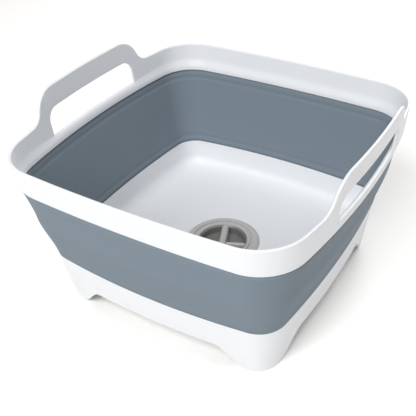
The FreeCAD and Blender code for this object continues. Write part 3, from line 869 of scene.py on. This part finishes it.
for piece in (rim, base):
    paint(piece, white_plastic)
paint(wall, grey_elastomer)
for piece in (flange, plug, nodes["lock_nut"]):
    paint(piece, drain_plastic)
for piece in (seal, nodes["floor_gasket"]):
    paint(piece, black_rubber)
print("materials", [material.name for material in bpy.data.materials])

# %% [markdown]
# The plug's cup sits deep in the drain. Its floor and inner wall get a darker, slightly glossier grey than
# the lip and grip bar, as painted shade in the recess. The faces inside the cup get a second material, chosen
# by where they lie and look.

# %% Painted shade in the plug's cup
CUP_MARGIN = 0.0004
# Painted shade: a darker grey stands in for the shade inside the plug's cup.
cup_shade_plastic = moulded_material("drain plastic with painted cup shade", colour=(0.190, 0.186, 0.178),
                                 drifted=(0.165, 0.162, 0.155), roughness=0.36, marks_amount=0.12,
                                 grain_scale=900.0, grain_depth=0.00002, specular=0.5)


def in_cup(face):
    """Whether a face of the plug is the floor or the wall of its cup."""
    away = math.hypot(face.center.x, face.center.y)
    on_floor = away < PLUG_INSIDE and face.center.z < CUP_FLOOR + CUP_MARGIN
    below_lip = CUP_FLOOR < face.center.z < PLUG_TOP - CUP_MARGIN
    on_wall = below_lip and PLUG_INSIDE - CUP_MARGIN < away < CUP_MOUTH
    looks_in = face.normal.xy.dot(face.center.xy) < 0.0
    return on_floor or (on_wall and looks_in)


plug.data.materials.append(cup_shade_plastic)
# The faces inside the cup get the painted shade.
cup_shade_faces = [face for face in plug.data.polygons if in_cup(face)]
for face in cup_shade_faces:
    face.material_index = 1
print("cup faces", len(cup_shade_faces))

# %% [markdown]
# The bowl stands on a plain white floor in soft studio light. Wide area lights give soft shadows, one from
# the front, one from behind and one high on the right, and the world adds an even fill, as in a light tent.
# A spotlight would be quicker to place, but its hard shadows hide the curves of matt plastic.

# %% Floor and light
def make_floor():
    half = 4.0
    mesh = bmesh.new()
    add_grid(mesh, [[(x, y, 0.0) for x in (-half, half)] for y in (-half, half)])
    floor = show("studio_floor", mesh)
    material = bpy.data.materials.new("studio floor")
    material.use_nodes = True
    shader = material.node_tree.nodes["Principled BSDF"]
    shader.inputs["Base Color"].default_value = (0.97, 0.96, 0.945, 1.0)
    shader.inputs["Roughness"].default_value = 0.9
    shader.inputs["Emission Color"].default_value = (1.0, 1.0, 1.0, 1.0)
    shader.inputs["Emission Strength"].default_value = 0.02
    paint(floor, material)
    return floor


def add_light(name, place, aim, width, watts):
    """A square area light that points from a place to an aim."""
    data = bpy.data.lights.new(name, "AREA")
    data.size = width
    data.energy = watts
    lamp = bpy.data.objects.new(name, data)
    lamp.location = place
    lamp.rotation_mode = "QUATERNION"
    lamp.rotation_quaternion = (Vector(aim) - Vector(place)).to_track_quat("-Z", "Y")
    bpy.context.scene.collection.objects.link(lamp)
    return lamp


LIGHT_AIM = (0.0, 0.0, 0.1)
LIGHT_WIDTH = 1.2
make_floor()
add_light("front", (0.0, -1.50, 1.57), LIGHT_AIM, LIGHT_WIDTH, watts=42.0)
add_light("back", (0.0, 1.90, 0.99), LIGHT_AIM, LIGHT_WIDTH, watts=26.0)
add_light("high_right", (0.75, 0.25, 2.05), LIGHT_AIM, LIGHT_WIDTH, watts=11.0)
world = bpy.data.worlds.new("studio")
world.use_nodes = True
world.node_tree.nodes["Background"].inputs["Color"].default_value = (1.0, 1.0, 1.0, 1.0)
world.node_tree.nodes["Background"].inputs["Strength"].default_value = 0.24
bpy.context.scene.world = world
bpy.context.scene.view_settings.view_transform = "Standard"
print("lights", [lamp.name for lamp in bpy.data.lights])

# %% [markdown]
# The camera looks down on the bowl from its front right, as in the photograph. Its direction is given by an
# azimuth and an elevation, its small tilt by a roll, and its framing by a lens and a shift.

# %% Camera
AZIMUTH = math.radians(32.37)
ELEVATION = math.radians(36.18)
ROLL = -0.04146
CAMERA_DISTANCE = 0.71447
AIM_HEIGHT = 0.07214
FRAME_PIXELS = 416.0
FOCAL_PIXELS = 704.63
MIDDLE_PIXEL = (221.09, 207.29)
SENSOR = 36.0

back = Vector((math.sin(AZIMUTH) * math.cos(ELEVATION), -math.cos(AZIMUTH) * math.cos(ELEVATION),
               math.sin(ELEVATION)))
level_right = Vector((0.0, 0.0, 1.0)).cross(back).normalized()
level_up = back.cross(level_right)
right = level_right * math.cos(ROLL) + level_up * math.sin(ROLL)
up = level_up * math.cos(ROLL) - level_right * math.sin(ROLL)
camera_data = bpy.data.cameras.new("camera")
camera_data.sensor_width = SENSOR
camera_data.lens = FOCAL_PIXELS / FRAME_PIXELS * SENSOR
camera_data.shift_x = (FRAME_PIXELS / 2.0 - MIDDLE_PIXEL[0]) / FRAME_PIXELS
camera_data.shift_y = (MIDDLE_PIXEL[1] - FRAME_PIXELS / 2.0) / FRAME_PIXELS
camera_data.clip_start = 0.01
camera = bpy.data.objects.new("camera", camera_data)
place = Vector((0.0, 0.0, AIM_HEIGHT)) + back * CAMERA_DISTANCE
camera.matrix_world = Matrix.Translation(place) @ Matrix((right, up, back)).transposed().to_4x4()
bpy.context.scene.collection.objects.link(camera)
bpy.context.scene.camera = camera
print("camera at", [round(value, 3) for value in place])
